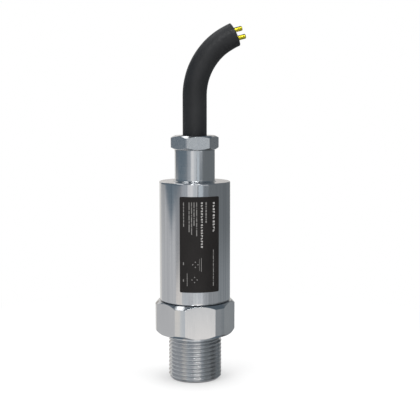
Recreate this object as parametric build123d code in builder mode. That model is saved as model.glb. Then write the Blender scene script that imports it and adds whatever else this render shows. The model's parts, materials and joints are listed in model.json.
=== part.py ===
from build123d import *
import os
from math import pi, radians, sin, tan

os.makedirs("parts", exist_ok=True)

# Electronic pressure switch with a cable outlet, in millimetres.
# The origin is the centre of the threaded stud's end face, and +Z runs up the switch.
# The name plate faces -Y, and the cable bends towards +X.

# Clearances
sliding_clearance = 0.05
board_clearance = 0.05
cable_clearance = 0.3
glue_gap = 0.05

# Threaded stud, M20 x 1.5. Its thread is drawn as level V grooves of that pitch.
stud_radius = 10.0
stud_length = 15.4
stud_end_chamfer = 1.1
thread_pitch = 1.5
thread_depth = 0.92
thread_flank_angle = 30.0
groove_depth = 1.1
groove_height = 2.4
groove_cone_height = 0.8
groove_fillet = 0.9
groove_foot_fillet = 0.4

# Pressure port and the pocket that the sensor drops into
port_radius = 3.0
port_mouth_chamfer = 0.5
cavity_radius = 7.5
cavity_depth = 1.1
seat_thickness = 1.7
capsule_radius = 9.5
capsule_height = 11.4
lock_ring_step = 0.25
lock_thread_lead = 0.4
lock_ring_height = 3.5
lock_ring_lap = 1.9
lock_ring_room = 3.6
lock_slot_width = 2.0
lock_slot_depth = 1.4
lock_ring_chamfer = 0.3
pocket_mouth_chamfer = 0.4

# Spigot that carries the housing, and its seal
spigot_wall = 1.85
spigot_chamfer = 0.5
seal_groove_depth = 0.75
seal_groove_width = 1.4
seal_groove_rise = 3.4

# Housing, bored out of one bar from below
housing_wall = 1.5
housing_height = 44.9
housing_top_thickness = 3.0
housing_foot_gap = 0.1
housing_foot_chamfer = 0.35
housing_rim_chamfer = 0.4
housing_lead_chamfer = 0.3

# Hexagon, turned to a corner circle
hex_ledge = 0.65
hex_height = 12.2
hex_corner_reach = 1.1
hex_top_chamfer_inset = 0.13
hex_bottom_chamfer_inset = 0.1

# Cable and its route. The bend is hand-placed, measured up from the gland nut.
cable_radius = 4.5
cable_tail = 1.5
conductor_radius = 0.9
conductor_spread = 1.6
conductor_reach = 3.5
conductor_rise = 15.0
conductor_chamfer = 0.2

# Gland neck, seal stack and nut
passage_wall = 1.2
neck_wall = 1.45
neck_height = 11.8
neck_floor = 1.4
neck_top_chamfer = 0.3
neck_foot_reach = 0.55
neck_foot_edge = 0.1
support_washer_thickness = 0.6
grommet_height = 3.3
grommet_chamfer = 0.3
slip_washer_thickness = 0.5
nut_ledge = 0.5
nut_corner_reach = 1.0
nut_chamfer_inset = 0.4
nut_chamfer_angle = 30.0
nut_height = 5.2
nut_turn = 2.0
nut_mouth_chamfer = 0.5
nut_tip_chamfer = 0.4
nut_relief_depth = 0.5
nut_relief_height = 0.8

# Name plate, wrapped on the housing
plate_width = 15.2
plate_height = 35.1
plate_thickness = 0.25
plate_rise = 5.1
plate_corner = 0.4

# Oil-filled sensor capsule
weld_ring_height = 0.7
weld_ring_width = 1.9
foil_thickness = 0.1
wave_count = 3
wave_height = 0.25
wave_pitch = 1.6
foil_rim = 0.2
face_recess = 0.5
oil_bore_gap = 0.55
oil_bore_height = 3.3
header_radius = 6.5
header_thickness = 2.5
header_chamfer = 0.2
ring_groove_depth = 1.5
ring_groove_width = 2.2
ring_groove_rise = 3.5
pin_count = 5
pin_radius = 0.25
pin_circle_radius = 3.2
pin_tip = 0.7
glass_wall = 0.45
die_width = 3.0
die_thickness = 1.2
trim_board_inset = 0.2
trim_board_thickness = 1.0
trim_board_rise = 1.9
pin_above_board = 0.6

# Moulded frame that holds the control board upright
frame_gap = 0.3
frame_radial_gap = 0.15
frame_ring_height = 1.5
frame_ring_width = 3.8
frame_lip_depth = 2.0
frame_lip_width = 1.4
rail_depth = 2.6
rail_width = 6.0
rail_back = 1.25
top_ring_height = 1.6
top_ring_width = 1.6

# Control board and what is soldered to it
board_thickness = 1.6
board_top_gap = 6.5
board_corner = 0.6
processor_width = 7.0
processor_thickness = 1.2
processor_gap = 1.5
processor_bevel = 0.2
capacitor_radius = 3.15
capacitor_height = 5.4
capacitor_base = 0.5
capacitor_gap = 0.5
capacitor_rim_fillet = 0.3
choke_width = 5.0
choke_height = 3.0
choke_core_radius = 1.9
choke_core_step = 0.3
choke_gap = 0.5
choke_corner = 0.7
transistor_width = 6.0
transistor_length = 6.2
transistor_height = 2.3
transistor_tab = 1.0
transistor_tab_thickness = 0.6
transistor_spacing = 8.0
transistor_top_gap = 0.3
diode_length = 3.4
diode_width = 1.8
diode_height = 1.3
diode_bevel = 0.2
diode_gap = 0.85
diode_spacing = 3.6
resistor_length = 1.6
resistor_width = 0.9
resistor_height = 0.5
resistor_gap = 1.9
resistor_pitch = 2.4
resistor_rows = 4
socket_width = 8.0
socket_depth = 5.0
socket_height = 5.0
socket_wall = 0.8
socket_floor = 1.0
socket_top_gap = 3.0
plug_standout = 1.2
plug_clearance = 0.1
plug_bevel = 0.3

# Insulated wires inside the housing
lead_radius = 0.45
lead_count = 4
lead_pitch = 2.2
lead_stand_off = 2.8
lead_pad_gap = 2.0
lead_bend = 1.5
core_bend = 1.6
core_drop = 2.0

# Radii that follow from the sensor outwards
pocket_radius = capsule_radius + sliding_clearance
lock_ring_radius = pocket_radius + lock_ring_step
lock_thread_radius = lock_ring_radius + sliding_clearance
spigot_radius = lock_thread_radius + spigot_wall
housing_bore_radius = spigot_radius + sliding_clearance
housing_radius = housing_bore_radius + housing_wall
hex_flat_distance = housing_radius + hex_ledge
hex_corner_radius = hex_flat_distance + hex_corner_reach
hex_top_radius = hex_flat_distance - hex_top_chamfer_inset
hex_bottom_radius = hex_flat_distance + hex_bottom_chamfer_inset
groove_radius = stud_radius - groove_depth

# Radii that follow from the cable outwards
passage_radius = cable_radius + cable_clearance
shank_radius = passage_radius + passage_wall
neck_bore_radius = shank_radius + sliding_clearance
neck_radius = neck_bore_radius + neck_wall
nut_flat_distance = neck_radius + nut_ledge
nut_corner_radius = nut_flat_distance + nut_corner_reach
nut_chamfer_radius = nut_flat_distance - nut_chamfer_inset
nut_chamfer_height = (nut_corner_radius - nut_chamfer_radius) * tan(radians(nut_chamfer_angle))

# Heights, from the stud's end upwards
hex_bottom = stud_length + groove_height
hex_top = hex_bottom + hex_height
sensor_seat = hex_bottom + seat_thickness
cavity_floor = sensor_seat - cavity_depth
capsule_top = sensor_seat + capsule_height
lock_thread_bottom = capsule_top - lock_thread_lead
lock_ring_top = capsule_top + lock_ring_height
spigot_top = lock_ring_top + lock_ring_room
seal_groove_bottom = hex_top + seal_groove_rise
housing_bottom = hex_top + housing_foot_gap
housing_top = housing_bottom + housing_height
housing_ceiling = housing_top - housing_top_thickness
neck_seat = housing_top + neck_floor
neck_top = housing_top + neck_height
grommet_bottom = neck_seat + support_washer_thickness
grommet_top = grommet_bottom + grommet_height
shank_bottom = grommet_top + slip_washer_thickness
nut_top = neck_top + nut_height
cable_inner_end = housing_ceiling - cable_tail
frame_bottom = spigot_top
frame_top = housing_ceiling - frame_gap
board_bottom = frame_bottom + frame_ring_height
board_top = cable_inner_end - board_top_gap

# One turned and milled piece: stud, hexagon, spigot, port and sensor pocket
thread_slope = tan(radians(thread_flank_angle))
thread_crest = thread_pitch / 8
thread_mouth = thread_pitch - thread_crest
thread_overshoot = thread_crest / 4 / thread_slope
thread_count = int((stud_length - stud_end_chamfer) / thread_pitch)
thread_heights = [stud_length - (turn + 0.5) * thread_pitch for turn in range(thread_count)]
with BuildPart() as process_connection:
    with BuildSketch(Plane.XZ) as connection_section:
        with BuildLine():
            Polyline(
                (port_radius + port_mouth_chamfer, 0),
                (stud_radius - stud_end_chamfer, 0),
                (stud_radius, stud_end_chamfer),
                (stud_radius, stud_length),
                (groove_radius, stud_length + groove_cone_height),
                (groove_radius, hex_bottom),
                (hex_bottom_radius, hex_bottom),
                (hex_corner_radius, hex_bottom + hex_corner_radius - hex_bottom_radius),
                (hex_corner_radius, hex_top - hex_corner_radius + hex_top_radius),
                (hex_top_radius, hex_top),
                (spigot_radius, hex_top),
                (spigot_radius, seal_groove_bottom),
                (spigot_radius - seal_groove_depth, seal_groove_bottom),
                (spigot_radius - seal_groove_depth, seal_groove_bottom + seal_groove_width),
                (spigot_radius, seal_groove_bottom + seal_groove_width),
                (spigot_radius, spigot_top - spigot_chamfer),
                (spigot_radius - spigot_chamfer, spigot_top),
                (lock_thread_radius + pocket_mouth_chamfer, spigot_top),
                (lock_thread_radius, spigot_top - pocket_mouth_chamfer),
                (lock_thread_radius, lock_thread_bottom),
                (pocket_radius, lock_thread_bottom),
                (pocket_radius, sensor_seat),
                (cavity_radius, sensor_seat),
                (cavity_radius, cavity_floor),
                (port_radius, cavity_floor),
                (port_radius, port_mouth_chamfer),
                close=True,
            )
        make_face()
        groove_corner = connection_section.vertices().sort_by_distance((groove_radius, hex_bottom))[0]
        fillet(groove_corner, radius=groove_fillet)
        groove_foot = connection_section.vertices().sort_by_distance(
            (groove_radius, stud_length + groove_cone_height)
        )[0]
        fillet(groove_foot, radius=groove_foot_fillet)
    revolve(axis=Axis.Z)
    with BuildSketch(Plane.XY.offset(hex_bottom)):
        Circle(2 * hex_corner_radius)
        RegularPolygon(
            radius=hex_flat_distance,
            side_count=6,
            major_radius=False,
            mode=Mode.SUBTRACT,
        )
    extrude(amount=hex_height, mode=Mode.SUBTRACT)
    with BuildSketch(Plane.XZ) as thread_grooves:
        for height in thread_heights:
            with Locations((stud_radius, height)):
                Polygon(
                    (thread_overshoot, thread_mouth / 2 + thread_crest / 4),
                    (-thread_depth, thread_mouth / 2 - thread_depth * thread_slope),
                    (-thread_depth, thread_depth * thread_slope - thread_mouth / 2),
                    (thread_overshoot, -thread_mouth / 2 - thread_crest / 4),
                    align=None,
                )
    revolve(axis=Axis.Z, mode=Mode.SUBTRACT)
process_connection.part.label = "process_connection"
export_step(process_connection.part, "parts/process_connection.step")

# Ring that the foil is welded under, at the mouth of the capsule
weld_ring_top = sensor_seat + weld_ring_height
weld_ring_bore = capsule_radius - weld_ring_width
with BuildPart() as weld_ring:
    with BuildSketch(Plane.XY.offset(sensor_seat)):
        Circle(capsule_radius)
        Circle(weld_ring_bore, mode=Mode.SUBTRACT)
    extrude(amount=weld_ring_height)
weld_ring.part.label = "weld_ring"
export_step(weld_ring.part, "parts/weld_ring.step")

# Corrugated foil that the medium presses on, waved towards the medium
wave_start = weld_ring_bore - foil_rim - wave_count * wave_pitch
with BuildPart() as sensor_diaphragm:
    with BuildSketch(Plane.XZ):
        with BuildLine():
            for wave in range(wave_count):
                near = wave_start + wave * wave_pitch
                for side in (0, foil_thickness):
                    ThreePointArc(
                        (near, weld_ring_top + side),
                        (near + wave_pitch / 2, weld_ring_top + side - wave_height),
                        (near + wave_pitch, weld_ring_top + side),
                    )
            Polyline(
                (wave_start, weld_ring_top),
                (0, weld_ring_top),
                (0, weld_ring_top + foil_thickness),
                (wave_start, weld_ring_top + foil_thickness),
            )
            Polyline(
                (weld_ring_bore - foil_rim, weld_ring_top),
                (capsule_radius, weld_ring_top),
                (capsule_radius, weld_ring_top + foil_thickness),
                (weld_ring_bore - foil_rim, weld_ring_top + foil_thickness),
            )
        make_face()
    revolve(axis=Axis.Z)
sensor_diaphragm.part.label = "sensor_diaphragm"
export_step(sensor_diaphragm.part, "parts/sensor_diaphragm.step")

# Capsule body: face recess, oil bore, header seat above and a seal groove round it
capsule_face = weld_ring_top + foil_thickness
header_bottom = capsule_face + oil_bore_height
oil_bore_radius = pin_circle_radius + pin_radius + oil_bore_gap
ring_groove_bottom = capsule_face + ring_groove_rise
with BuildPart() as sensor_capsule:
    with BuildSketch(Plane.XZ):
        with BuildLine():
            Polyline(
                (weld_ring_bore, capsule_face),
                (capsule_radius, capsule_face),
                (capsule_radius, ring_groove_bottom),
                (capsule_radius - ring_groove_depth, ring_groove_bottom),
                (capsule_radius - ring_groove_depth, ring_groove_bottom + ring_groove_width),
                (capsule_radius, ring_groove_bottom + ring_groove_width),
                (capsule_radius, capsule_top),
                (header_radius + sliding_clearance, capsule_top),
                (header_radius + sliding_clearance, header_bottom),
                (oil_bore_radius, header_bottom),
                (oil_bore_radius, capsule_face + face_recess),
                (weld_ring_bore, capsule_face + face_recess),
                close=True,
            )
        make_face()
    revolve(axis=Axis.Z)
sensor_capsule.part.label = "sensor_capsule"
export_step(sensor_capsule.part, "parts/sensor_capsule.step")

# Squeezed ring that seals the capsule in its pocket
ring_room = ring_groove_depth + sliding_clearance
with BuildPart() as sensor_seal_ring:
    with BuildSketch(Plane.XZ):
        with Locations((pocket_radius - ring_room / 2, ring_groove_bottom + ring_groove_width / 2)):
            Ellipse(ring_room / 2 - sliding_clearance / 2, ring_groove_width / 2 - sliding_clearance)
    revolve(axis=Axis.Z)
sensor_seal_ring.part.label = "sensor_seal_ring"
export_step(sensor_seal_ring.part, "parts/sensor_seal_ring.step")

# Header that closes the oil space, with a hole for each glass bead
header_top = header_bottom + header_thickness
glass_radius = pin_radius + glass_wall
with BuildPart() as sensor_header:
    with BuildSketch(Plane.XY.offset(header_bottom)):
        Circle(header_radius)
        with PolarLocations(pin_circle_radius, pin_count, start_angle=90):
            Circle(glass_radius, mode=Mode.SUBTRACT)
    extrude(amount=header_thickness)
    header_rims = sensor_header.edges().filter_by(GeomType.CIRCLE).group_by(SortBy.RADIUS)[-1]
    chamfer(header_rims, length=header_chamfer)
sensor_header.part.label = "sensor_header"
export_step(sensor_header.part, "parts/sensor_header.step")

# Glass beads that seal the pins into the header
with BuildPart() as header_glass:
    with BuildSketch(Plane.XY.offset(header_bottom)):
        with PolarLocations(pin_circle_radius, pin_count, start_angle=90):
            Circle(glass_radius)
            Circle(pin_radius, mode=Mode.SUBTRACT)
    extrude(amount=header_thickness)
header_glass.part.label = "header_glass"
export_step(header_glass.part, "parts/header_glass.step")

# Pins from the oil space up through the trim board
trim_board_radius = header_radius - trim_board_inset
trim_board_bottom = header_top + trim_board_rise
trim_board_top = trim_board_bottom + trim_board_thickness
pin_bottom = header_bottom - pin_tip
pin_top = trim_board_top + pin_above_board
with BuildPart() as header_pins:
    with BuildSketch(Plane.XY.offset(pin_bottom)):
        with PolarLocations(pin_circle_radius, pin_count, start_angle=90):
            Circle(pin_radius)
    extrude(amount=pin_top - pin_bottom)
header_pins.part.label = "header_pins"
export_step(header_pins.part, "parts/header_pins.step")

# Pressure-sensing die, bonded under the header
with BuildPart() as sensor_die:
    with BuildSketch(Plane.XY.offset(header_bottom)):
        Rectangle(die_width, die_width)
    extrude(amount=-die_thickness)
sensor_die.part.label = "sensor_die"
export_step(sensor_die.part, "parts/sensor_die.step")

# Round trim board, carried on the pins
with BuildPart() as trim_board:
    with BuildSketch(Plane.XY.offset(trim_board_bottom)):
        Circle(trim_board_radius)
        with PolarLocations(pin_circle_radius, pin_count, start_angle=90):
            Circle(pin_radius + board_clearance, mode=Mode.SUBTRACT)
    extrude(amount=trim_board_thickness)
trim_board.part.label = "trim_board"
export_step(trim_board.part, "parts/trim_board.step")

# Slotted ring, screwed down on the capsule
lock_ring_bore = capsule_radius - lock_ring_lap
with BuildPart() as sensor_lock_ring:
    with BuildSketch(Plane.XY.offset(capsule_top)):
        Circle(lock_ring_radius)
        Circle(lock_ring_bore, mode=Mode.SUBTRACT)
    extrude(amount=lock_ring_height)
    rim_edges = sensor_lock_ring.edges().filter_by(GeomType.CIRCLE).filter_by_position(
        Axis.Z, lock_ring_top, lock_ring_top
    )
    chamfer(rim_edges, length=lock_ring_chamfer)
    with BuildSketch(Plane.XY.offset(lock_ring_top)):
        Rectangle(4 * lock_ring_radius, lock_slot_width)
    extrude(amount=-lock_slot_depth, mode=Mode.SUBTRACT)
sensor_lock_ring.part.label = "sensor_lock_ring"
export_step(sensor_lock_ring.part, "parts/sensor_lock_ring.step")

# Squeezed ring between spigot and housing
seal_room = seal_groove_depth + sliding_clearance
seal_middle = seal_groove_bottom + seal_groove_width / 2
with BuildPart() as housing_seal_ring:
    with BuildSketch(Plane.XZ):
        with Locations((housing_bore_radius - seal_room / 2, seal_middle)):
            Ellipse(
                seal_room / 2 - sliding_clearance / 2,
                seal_groove_width / 2 - 2 * sliding_clearance,
            )
    revolve(axis=Axis.Z)
housing_seal_ring.part.label = "housing_seal_ring"
export_step(housing_seal_ring.part, "parts/housing_seal_ring.step")

# Housing: a deep cup, open below, with the neck's hole in its top
neck_hole_radius = shank_radius + sliding_clearance
with BuildPart() as housing:
    with BuildSketch(Plane.XZ):
        with BuildLine():
            Polyline(
                (housing_bore_radius + housing_lead_chamfer, housing_bottom),
                (housing_radius - housing_foot_chamfer, housing_bottom),
                (housing_radius, housing_bottom + housing_foot_chamfer),
                (housing_radius, housing_top - housing_rim_chamfer),
                (housing_radius - housing_rim_chamfer, housing_top),
                (neck_hole_radius, housing_top),
                (neck_hole_radius, housing_ceiling),
                (housing_bore_radius, housing_ceiling),
                (housing_bore_radius, housing_bottom + housing_lead_chamfer),
                close=True,
            )
        make_face()
    revolve(axis=Axis.Z)
housing.part.label = "housing"
export_step(housing.part, "parts/housing.step")

# Name plate: a strip of the housing's curve, trimmed to a rounded rectangle from the front
plate_inner_radius = housing_radius + glue_gap
plate_outer_radius = plate_inner_radius + plate_thickness
plate_bottom = housing_bottom + plate_rise
plate_chord = 2 * plate_outer_radius * sin(plate_width / 2 / plate_outer_radius)
with BuildPart() as name_plate:
    with BuildSketch(Plane.XY.offset(plate_bottom)):
        Circle(plate_outer_radius)
        Circle(plate_inner_radius, mode=Mode.SUBTRACT)
    extrude(amount=plate_height)
    with BuildSketch(Plane.XZ):
        with Locations((0, plate_bottom + plate_height / 2)):
            RectangleRounded(plate_chord, plate_height, plate_corner)
    extrude(amount=2 * plate_outer_radius, mode=Mode.INTERSECT)
name_plate.part.label = "name_plate"
export_step(name_plate.part, "parts/name_plate.step")

# Gland neck: a stepped tube, pressed through the housing's top up to its foot
neck_spigot_radius = neck_hole_radius - sliding_clearance
with BuildPart() as gland_neck:
    with BuildSketch(Plane.XZ):
        with BuildLine():
            Polyline(
                (neck_radius + neck_foot_reach, housing_top + neck_foot_edge),
                (neck_radius + neck_foot_reach, housing_top),
                (neck_spigot_radius, housing_top),
                (neck_spigot_radius, housing_ceiling),
                (passage_radius, housing_ceiling),
                (passage_radius, neck_seat),
                (neck_bore_radius, neck_seat),
                (neck_bore_radius, neck_top - neck_top_chamfer),
                (neck_bore_radius + neck_top_chamfer, neck_top),
                (neck_radius - neck_top_chamfer, neck_top),
                (neck_radius, neck_top - neck_top_chamfer),
                (neck_radius, housing_top + neck_foot_edge + neck_foot_reach),
            )
            RadiusArc(
                (neck_radius + neck_foot_reach, housing_top + neck_foot_edge),
                (neck_radius, housing_top + neck_foot_edge + neck_foot_reach),
                radius=neck_foot_reach,
            )
        make_face()
    revolve(axis=Axis.Z)
gland_neck.part.label = "gland_neck"
export_step(gland_neck.part, "parts/gland_neck.step")

# Washer under the rubber bush
with BuildPart() as support_washer:
    with BuildSketch(Plane.XY.offset(neck_seat)):
        Circle(shank_radius)
        Circle(passage_radius, mode=Mode.SUBTRACT)
    extrude(amount=support_washer_thickness)
support_washer.part.label = "support_washer"
export_step(support_washer.part, "parts/support_washer.step")

# Rubber bush that the nut squeezes onto the cable
with BuildPart() as gland_bush:
    with BuildSketch(Plane.XY.offset(grommet_bottom)):
        Circle(shank_radius)
        Circle(cable_radius + sliding_clearance, mode=Mode.SUBTRACT)
    extrude(amount=grommet_height)
    outer_edges = gland_bush.edges().filter_by(GeomType.CIRCLE).group_by(SortBy.RADIUS)[-1]
    chamfer(outer_edges, length=grommet_chamfer)
gland_bush.part.label = "gland_bush"
export_step(gland_bush.part, "parts/gland_bush.step")

# Washer that rides up and down with the nut but doesn't turn
with BuildPart() as slip_washer:
    with BuildSketch(Plane.XY.offset(grommet_top)):
        Circle(shank_radius)
        Circle(passage_radius, mode=Mode.SUBTRACT)
    extrude(amount=slip_washer_thickness)
slip_washer.part.label = "slip_washer"
export_step(slip_washer.part, "parts/slip_washer.step")

# Gland nut: a threaded shank in the neck under a chamfered hexagon
with BuildPart() as gland_nut:
    with BuildSketch(Plane.XZ):
        with BuildLine():
            Polyline(
                (passage_radius, shank_bottom),
                (shank_radius - nut_tip_chamfer, shank_bottom),
                (shank_radius, shank_bottom + nut_tip_chamfer),
                (shank_radius, neck_top - nut_relief_height),
                (shank_radius - nut_relief_depth, neck_top - nut_relief_height),
                (shank_radius - nut_relief_depth, neck_top),
                (nut_chamfer_radius, neck_top),
                (nut_corner_radius, neck_top + nut_chamfer_height),
                (nut_corner_radius, nut_top - nut_chamfer_height),
                (nut_chamfer_radius, nut_top),
                (passage_radius + nut_mouth_chamfer, nut_top),
                (passage_radius, nut_top - nut_mouth_chamfer),
                close=True,
            )
        make_face()
    revolve(axis=Axis.Z)
    with BuildSketch(Plane.XY.offset(neck_top)):
        Circle(2 * nut_corner_radius)
        RegularPolygon(
            radius=nut_flat_distance,
            side_count=6,
            major_radius=False,
            rotation=nut_turn,
            mode=Mode.SUBTRACT,
        )
    extrude(amount=nut_height, mode=Mode.SUBTRACT)
gland_nut.part.label = "gland_nut"
export_step(gland_nut.part, "parts/gland_nut.step")

# Cable: held straight through the gland, then bent over towards +X
route = [
    (0, 0, cable_inner_end),
    (0, 0, nut_top + 18.2),
    (2.1, 0, nut_top + 25.2),
    (6.2, 0, nut_top + 31.2),
    (11.2, 0, nut_top + 35.3),
    (15.0, 0, nut_top + 37.1),
]
bend_radii = []
for before, corner, after in zip(route, route[1:], route[2:]):
    arriving = Vector(*corner) - Vector(*before)
    leaving = Vector(*after) - Vector(*corner)
    half_turn = radians(arriving.get_angle(leaving)) / 2
    bend_radii.append(0.45 * min(arriving.length, leaving.length) / tan(half_turn))
print("cable bend radii:", [round(radius, 2) for radius in bend_radii])

with BuildPart() as cable_sheath:
    with BuildLine() as cable_path:
        FilletPolyline(*route, radius=bend_radii)
    with BuildSketch(Plane.XY.offset(cable_inner_end)):
        Circle(cable_radius)
    sweep()
cable_sheath.part.label = "cable_sheath"
export_step(cable_sheath.part, "parts/cable_sheath.step")
expected_volume = pi * cable_radius**2 * cable_path.wires()[0].length
print("cable volume over section times length:", cable_sheath.part.volume / expected_volume)

# Bare conductors that stand out of the cable's cut end
cable_end = Vector(*route[-1])
end_direction = (cable_end - Vector(*route[-2])).normalized()
end_face = Plane(origin=cable_end, x_dir=(0, 1, 0), z_dir=end_direction)
spread_direction = end_direction.rotate(Axis.Y, -90)
conductor_direction = Vector(1, 0, 0).rotate(Axis.Y, -conductor_rise)
upper_start = cable_end + spread_direction * conductor_spread
with BuildPart() as upper_conductor:
    with BuildSketch(Plane(origin=upper_start, x_dir=(0, 1, 0), z_dir=conductor_direction)):
        Circle(conductor_radius)
    extrude(amount=conductor_reach, both=True)
    split(bisect_by=end_face, keep=Keep.TOP)
    tip = upper_conductor.edges().filter_by(GeomType.CIRCLE).sort_by(Axis.X)[-1]
    chamfer(tip, length=conductor_chamfer)
upper_conductor.part.label = "upper_conductor"
export_step(upper_conductor.part, "parts/upper_conductor.step")

lower_start = cable_end - spread_direction * conductor_spread
with BuildPart() as lower_conductor:
    with BuildSketch(Plane(origin=lower_start, x_dir=(0, 1, 0), z_dir=conductor_direction)):
        Circle(conductor_radius)
    extrude(amount=conductor_reach, both=True)
    split(bisect_by=end_face, keep=Keep.TOP)
    tip = lower_conductor.edges().filter_by(GeomType.CIRCLE).sort_by(Axis.X)[-1]
    chamfer(tip, length=conductor_chamfer)
lower_conductor.part.label = "lower_conductor"
export_step(lower_conductor.part, "parts/lower_conductor.step")

# Moulded frame: foot ring with a locating lip, two grooved rails and a top ring
frame_radius = housing_bore_radius - frame_radial_gap
frame_lip_radius = lock_thread_radius - frame_radial_gap
board_half_width = frame_radius - rail_back
slot_half_width = board_half_width + board_clearance
slot_thickness = board_thickness + 2 * board_clearance
with BuildPart() as board_frame:
    with BuildSketch(Plane.XY.offset(frame_bottom - frame_lip_depth)):
        Circle(frame_lip_radius)
        Circle(frame_lip_radius - frame_lip_width, mode=Mode.SUBTRACT)
    extrude(amount=frame_lip_depth)
    with BuildSketch(Plane.XY.offset(frame_bottom)):
        Circle(frame_radius)
        Circle(frame_radius - frame_ring_width, mode=Mode.SUBTRACT)
    extrude(amount=frame_ring_height)
    with BuildSketch(Plane.XY.offset(board_bottom)):
        Circle(frame_radius)
        Circle(frame_radius - rail_depth, mode=Mode.SUBTRACT)
        Rectangle(2 * frame_radius, rail_width, mode=Mode.INTERSECT)
    extrude(amount=frame_top - board_bottom)
    with BuildSketch(Plane.XY.offset(frame_top - top_ring_height)):
        Circle(frame_radius)
        Circle(frame_radius - top_ring_width, mode=Mode.SUBTRACT)
    extrude(amount=top_ring_height)
    with BuildSketch(Plane.XY.offset(board_bottom)):
        Rectangle(2 * slot_half_width, slot_thickness)
    extrude(amount=frame_top - board_bottom, mode=Mode.SUBTRACT)
board_frame.part.label = "board_frame"
export_step(board_frame.part, "parts/board_frame.step")

# Control board, upright in the rails, with its parts on the front and back faces
board_height = board_top - board_bottom
front_face = Plane.XZ.offset(board_thickness / 2)
back_face = Plane.XZ.offset(-board_thickness / 2)
socket_top = board_top - socket_top_gap
socket_bottom = socket_top - socket_height
processor_middle = socket_bottom - processor_gap - processor_width / 2
transistor_middle = board_top - transistor_top_gap - transistor_tab - transistor_length / 2
choke_middle = transistor_middle - transistor_length / 2 - choke_gap - choke_width / 2
capacitor_middle = choke_middle - choke_width / 2 - capacitor_gap - capacitor_radius
resistor_side = processor_width / 2 + resistor_gap + resistor_length / 2
diode_side = capacitor_radius + diode_gap + diode_length / 2
with BuildPart() as control_board:
    with BuildSketch(front_face):
        with Locations((0, board_bottom + board_height / 2)):
            RectangleRounded(2 * board_half_width, board_height, board_corner)
    extrude(amount=-board_thickness)
control_board.part.label = "control_board"
export_step(control_board.part, "parts/control_board.step")

with BuildPart() as processor_chip:
    with BuildSketch(front_face):
        with Locations((0, processor_middle)):
            Rectangle(processor_width, processor_width)
    extrude(amount=processor_thickness)
    chamfer(processor_chip.faces().sort_by(Axis.Y)[0].edges(), length=processor_bevel)
processor_chip.part.label = "processor_chip"
export_step(processor_chip.part, "parts/processor_chip.step")

with BuildPart() as chip_resistors:
    with BuildSketch(front_face):
        with Locations((0, processor_middle)):
            with GridLocations(2 * resistor_side, resistor_pitch, 2, resistor_rows):
                Rectangle(resistor_length, resistor_width)
    extrude(amount=resistor_height)
chip_resistors.part.label = "chip_resistors"
export_step(chip_resistors.part, "parts/chip_resistors.step")

with BuildPart() as supply_capacitor:
    with BuildSketch(back_face):
        with Locations((0, capacitor_middle)):
            Rectangle(2 * capacitor_radius, 2 * capacitor_radius)
    extrude(amount=-capacitor_base)
    with BuildSketch(back_face):
        with Locations((0, capacitor_middle)):
            Circle(capacitor_radius)
    extrude(amount=-capacitor_height)
    can_rim = supply_capacitor.faces().sort_by(Axis.Y)[-1].edges()
    fillet(can_rim, radius=capacitor_rim_fillet)
supply_capacitor.part.label = "supply_capacitor"
export_step(supply_capacitor.part, "parts/supply_capacitor.step")

with BuildPart() as power_choke:
    with BuildSketch(back_face):
        with Locations((0, choke_middle)):
            Rectangle(choke_width, choke_width)
    extrude(amount=-choke_height)
    chamfer(power_choke.edges().filter_by(Axis.Y), length=choke_corner)
    with BuildSketch(Plane.XZ.offset(-board_thickness / 2 - choke_height)):
        with Locations((0, choke_middle)):
            Circle(choke_core_radius)
            Circle(choke_core_radius - choke_core_step, mode=Mode.SUBTRACT)
    extrude(amount=choke_core_step, mode=Mode.SUBTRACT)
power_choke.part.label = "power_choke"
export_step(power_choke.part, "parts/power_choke.step")

with BuildPart() as output_transistors:
    with BuildSketch(back_face):
        with Locations((0, transistor_middle)):
            with GridLocations(transistor_spacing, 1, 2, 1):
                Rectangle(transistor_width, transistor_length)
    extrude(amount=-transistor_height)
    with BuildSketch(back_face):
        with Locations((0, transistor_middle + transistor_length / 2)):
            with GridLocations(transistor_spacing, 1, 2, 1):
                Rectangle(transistor_width, 2 * transistor_tab)
    extrude(amount=-transistor_tab_thickness)
output_transistors.part.label = "output_transistors"
export_step(output_transistors.part, "parts/output_transistors.step")

with BuildPart() as protection_diodes:
    with BuildSketch(back_face):
        with Locations((0, capacitor_middle)):
            with GridLocations(2 * diode_side, diode_spacing, 2, 2):
                Rectangle(diode_length, diode_width)
    extrude(amount=-diode_height)
    chamfer(protection_diodes.faces().group_by(Axis.Y)[-1].edges(), length=diode_bevel)
protection_diodes.part.label = "protection_diodes"
export_step(protection_diodes.part, "parts/protection_diodes.step")

# Socket on the board and the plug that the cable's two cores end in
with BuildPart() as board_socket:
    with BuildSketch(Plane.XY.offset(socket_bottom)):
        with Locations((0, -board_thickness / 2)):
            Rectangle(socket_width, socket_depth, align=(Align.CENTER, Align.MAX))
    extrude(amount=socket_height)
    with BuildSketch(Plane.XY.offset(socket_top)):
        with Locations((0, -board_thickness / 2 - socket_depth / 2)):
            Rectangle(socket_width - 2 * socket_wall, socket_depth - 2 * socket_wall)
    extrude(amount=socket_floor - socket_height, mode=Mode.SUBTRACT)
board_socket.part.label = "board_socket"
export_step(board_socket.part, "parts/board_socket.step")

plug_inset = socket_wall + plug_clearance
plug_middle = -board_thickness / 2 - socket_depth / 2
plug_top = socket_top + plug_standout
with BuildPart() as core_plug:
    with BuildSketch(Plane.XY.offset(socket_bottom + socket_floor)):
        with Locations((0, plug_middle)):
            Rectangle(socket_width - 2 * plug_inset, socket_depth - 2 * plug_inset)
    extrude(amount=plug_top - socket_bottom - socket_floor)
    chamfer(core_plug.edges().filter_by(Axis.Z), length=plug_bevel)
core_plug.part.label = "core_plug"
export_step(core_plug.part, "parts/core_plug.step")

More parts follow.
